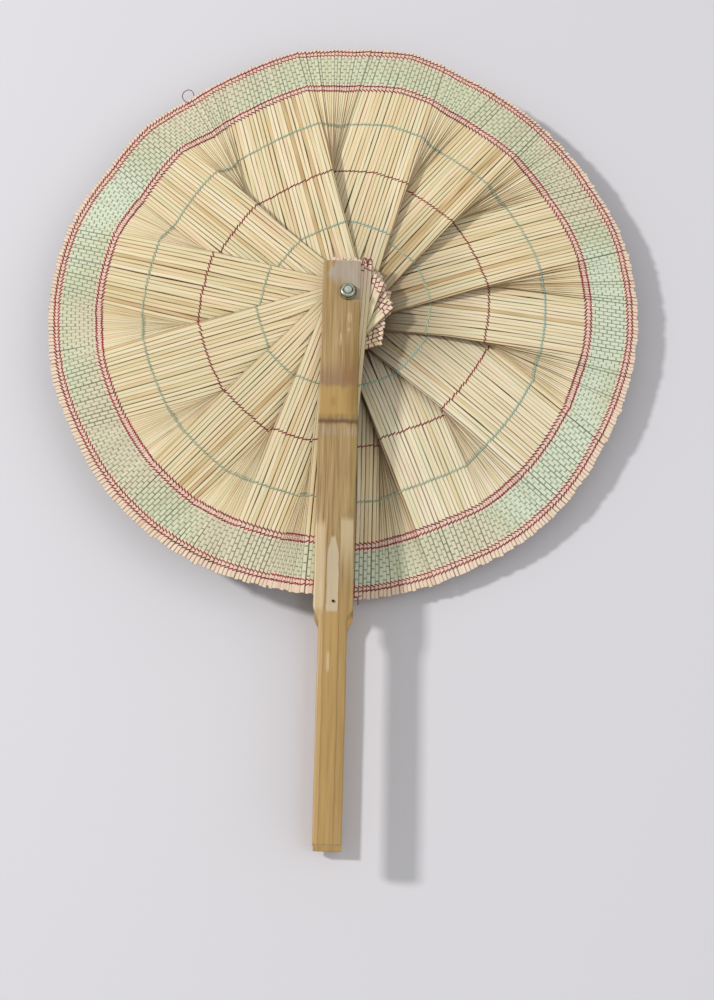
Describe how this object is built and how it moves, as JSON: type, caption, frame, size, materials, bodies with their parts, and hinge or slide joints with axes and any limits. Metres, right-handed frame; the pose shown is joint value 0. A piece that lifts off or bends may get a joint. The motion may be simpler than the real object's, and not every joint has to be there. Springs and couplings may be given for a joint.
{
  "type": "bamboo folding hand fan",
  "caption": "Round hand fan of split bamboo sticks sewn with coloured thread, pleated round a bolt between bamboo handle halves; it folds flat as the front half turns once round.",
  "frame": {"origin": "On the pivot axis, at the flat outer face of the bolt head at the back of the fan.", "axes": "+Z is the front of the open fan, +Y is away from the grip along the handle, +X is to the right seen from the front."},
  "size_m": [0.2781, 0.386, 0.0318],
  "materials": {
    "straw_sticks": "split bamboo sticks, pale straw, satin",
    "straw_sticks_folded": "split bamboo sticks in the pleats' back walls",
    "handle_bamboo": "flat bamboo slat, waxy tan skin with long fibres",
    "bright_steel": "plated steel bolt and nut",
    "dull_steel": "dull steel washers and brads"
  },
  "bodies": {
    "root": {"back_handle": "handle_bamboo", "pivot_bolt": "bright_steel", "back_washer": "dull_steel", "front_washer": "dull_steel", "pivot_nut": "bright_steel", "back_brad": "dull_steel", "panel_13": "straw_sticks"},
    "return_12": {"return_12": "straw_sticks_folded"},
    "panel_12": {"panel_12": "straw_sticks"},
    "return_11": {"return_11": "straw_sticks_folded"},
    "panel_11": {"panel_11": "straw_sticks"},
    "return_10": {"return_10": "straw_sticks_folded"},
    "panel_10": {"panel_10": "straw_sticks"},
    "return_09": {"return_09": "straw_sticks_folded"},
    "panel_09": {"panel_09": "straw_sticks"},
    "return_08": {"return_08": "straw_sticks_folded"},
    "panel_08": {"panel_08": "straw_sticks"},
    "return_07": {"return_07": "straw_sticks_folded"},
    "panel_07": {"panel_07": "straw_sticks"},
    "return_06": {"return_06": "straw_sticks_folded"},
    "panel_06": {"panel_06": "straw_sticks"},
    "return_05": {"return_05": "straw_sticks_folded"},
    "panel_05": {"panel_05": "straw_sticks"},
    "return_04": {"return_04": "straw_sticks_folded"},
    "panel_04": {"panel_04": "straw_sticks"},
    "return_03": {"return_03": "straw_sticks_folded"},
    "panel_03": {"panel_03": "straw_sticks"},
    "return_02": {"return_02": "straw_sticks_folded"},
    "panel_02": {"panel_02": "straw_sticks"},
    "return_01": {"return_01": "straw_sticks_folded"},
    "panel_01": {"panel_01": "straw_sticks"},
    "return_00": {"return_00": "straw_sticks_folded"},
    "front_half": {"front_handle": "handle_bamboo", "front_brad": "dull_steel", "panel_00": "straw_sticks"}
  },
  "joints": [
    {"name": "fold_return_12", "type": "hinge", "parent": "root", "child": "return_12", "pos_m": [0, 0, 0.0157], "axis": [0, 0, -1], "range_deg": [0, 10.77]},
    {"name": "fold_panel_12", "type": "hinge", "parent": "return_12", "child": "panel_12", "pos_m": [0, 0, 0.0157], "axis": [0, 0, -1], "range_deg": [0, 10.77]},
    {"name": "fold_return_11", "type": "hinge", "parent": "panel_12", "child": "return_11", "pos_m": [0, 0, 0.0157], "axis": [0, 0, -1], "range_deg": [0, 13.85]},
    {"name": "fold_panel_11", "type": "hinge", "parent": "return_11", "child": "panel_11", "pos_m": [0, 0, 0.0157], "axis": [0, 0, -1], "range_deg": [0, 13.85]},
    {"name": "fold_return_10", "type": "hinge", "parent": "panel_11", "child": "return_10", "pos_m": [0, 0, 0.0157], "axis": [0, 0, -1], "range_deg": [0, 16.92]},
    {"name": "fold_panel_10", "type": "hinge", "parent": "return_10", "child": "panel_10", "pos_m": [0, 0, 0.0157], "axis": [0, 0, -1], "range_deg": [0, 16.92]},
    {"name": "fold_return_09", "type": "hinge", "parent": "panel_10", "child": "return_09", "pos_m": [0, 0, 0.0157], "axis": [0, 0, -1], "range_deg": [0, 12.31]},
    {"name": "fold_panel_09", "type": "hinge", "parent": "return_09", "child": "panel_09", "pos_m": [0, 0, 0.0157], "axis": [0, 0, -1], "range_deg": [0, 12.31]},
    {"name": "fold_return_08", "type": "hinge", "parent": "panel_09", "child": "return_08", "pos_m": [0, 0, 0.0157], "axis": [0, 0, -1], "range_deg": [0, 16.15]},
    {"name": "fold_panel_08", "type": "hinge", "parent": "return_08", "child": "panel_08", "pos_m": [0, 0, 0.0157], "axis": [0, 0, -1], "range_deg": [0, 16.15]},
    {"name": "fold_return_07", "type": "hinge", "parent": "panel_08", "child": "return_07", "pos_m": [0, 0, 0.0157], "axis": [0, 0, -1], "range_deg": [0, 12.31]},
    {"name": "fold_panel_07", "type": "hinge", "parent": "return_07", "child": "panel_07", "pos_m": [0, 0, 0.0157], "axis": [0, 0, -1], "range_deg": [0, 12.31]},
    {"name": "fold_return_06", "type": "hinge", "parent": "panel_07", "child": "return_06", "pos_m": [0, 0, 0.0157], "axis": [0, 0, -1], "range_deg": [0, 15.39]},
    {"name": "fold_panel_06", "type": "hinge", "parent": "return_06", "child": "panel_06", "pos_m": [0, 0, 0.0157], "axis": [0, 0, -1], "range_deg": [0, 15.39]},
    {"name": "fold_return_05", "type": "hinge", "parent": "panel_06", "child": "return_05", "pos_m": [0, 0, 0.0157], "axis": [0, 0, -1], "range_deg": [0, 17.69]},
    {"name": "fold_panel_05", "type": "hinge", "parent": "return_05", "child": "panel_05", "pos_m": [0, 0, 0.0157], "axis": [0, 0, -1], "range_deg": [0, 17.69]},
    {"name": "fold_return_04", "type": "hinge", "parent": "panel_05", "child": "return_04", "pos_m": [0, 0, 0.0157], "axis": [0, 0, -1], "range_deg": [0, 13.85]},
    {"name": "fold_panel_04", "type": "hinge", "parent": "return_04", "child": "panel_04", "pos_m": [0, 0, 0.0157], "axis": [0, 0, -1], "range_deg": [0, 13.85]},
    {"name": "fold_return_03", "type": "hinge", "parent": "panel_04", "child": "return_03", "pos_m": [0, 0, 0.0157], "axis": [0, 0, -1], "range_deg": [0, 15.39]},
    {"name": "fold_panel_03", "type": "hinge", "parent": "return_03", "child": "panel_03", "pos_m": [0, 0, 0.0157], "axis": [0, 0, -1], "range_deg": [0, 15.39]},
    {"name": "fold_return_02", "type": "hinge", "parent": "panel_03", "child": "return_02", "pos_m": [0, 0, 0.0157], "axis": [0, 0, -1], "range_deg": [0, 14.62]},
    {"name": "fold_panel_02", "type": "hinge", "parent": "return_02", "child": "panel_02", "pos_m": [0, 0, 0.0157], "axis": [0, 0, -1], "range_deg": [0, 14.62]},
    {"name": "fold_return_01", "type": "hinge", "parent": "panel_02", "child": "return_01", "pos_m": [0, 0, 0.0157], "axis": [0, 0, -1], "range_deg": [0, 11.54]},
    {"name": "fold_panel_01", "type": "hinge", "parent": "return_01", "child": "panel_01", "pos_m": [0, 0, 0.0157], "axis": [0, 0, -1], "range_deg": [0, 11.54]},
    {"name": "fold_return_00", "type": "hinge", "parent": "panel_01", "child": "return_00", "pos_m": [0, 0, 0.0157], "axis": [0, 0, -1], "range_deg": [0, 9.23]},
    {"name": "fold_front_handle", "type": "hinge", "parent": "return_00", "child": "front_half", "pos_m": [0, 0, 0.0157], "axis": [0, 0, -1], "range_deg": [0, 9.23]}
  ],
  "couplings": [
    {"joint": "fold_panel_12", "follows": "fold_return_12", "ratio": 1},
    {"joint": "fold_return_11", "follows": "fold_return_12", "ratio": 1.2857},
    {"joint": "fold_panel_11", "follows": "fold_return_12", "ratio": 1.2857},
    {"joint": "fold_return_10", "follows": "fold_return_12", "ratio": 1.5714},
    {"joint": "fold_panel_10", "follows": "fold_return_12", "ratio": 1.5714},
    {"joint": "fold_return_09", "follows": "fold_return_12", "ratio": 1.1429},
    {"joint": "fold_panel_09", "follows": "fold_return_12", "ratio": 1.1429},
    {"joint": "fold_return_08", "follows": "fold_return_12", "ratio": 1.5},
    {"joint": "fold_panel_08", "follows": "fold_return_12", "ratio": 1.5},
    {"joint": "fold_return_07", "follows": "fold_return_12", "ratio": 1.1429},
    {"joint": "fold_panel_07", "follows": "fold_return_12", "ratio": 1.1429},
    {"joint": "fold_return_06", "follows": "fold_return_12", "ratio": 1.4286},
    {"joint": "fold_panel_06", "follows": "fold_return_12", "ratio": 1.4286},
    {"joint": "fold_return_05", "follows": "fold_return_12", "ratio": 1.6429},
    {"joint": "fold_panel_05", "follows": "fold_return_12", "ratio": 1.6429},
    {"joint": "fold_return_04", "follows": "fold_return_12", "ratio": 1.2857},
    {"joint": "fold_panel_04", "follows": "fold_return_12", "ratio": 1.2857},
    {"joint": "fold_return_03", "follows": "fold_return_12", "ratio": 1.4286},
    {"joint": "fold_panel_03", "follows": "fold_return_12", "ratio": 1.4286},
    {"joint": "fold_return_02", "follows": "fold_return_12", "ratio": 1.3571},
    {"joint": "fold_panel_02", "follows": "fold_return_12", "ratio": 1.3571},
    {"joint": "fold_return_01", "follows": "fold_return_12", "ratio": 1.0714},
    {"joint": "fold_panel_01", "follows": "fold_return_12", "ratio": 1.0714},
    {"joint": "fold_return_00", "follows": "fold_return_12", "ratio": 0.85714},
    {"joint": "fold_front_handle", "follows": "fold_return_12", "ratio": 0.85714}
  ]
}
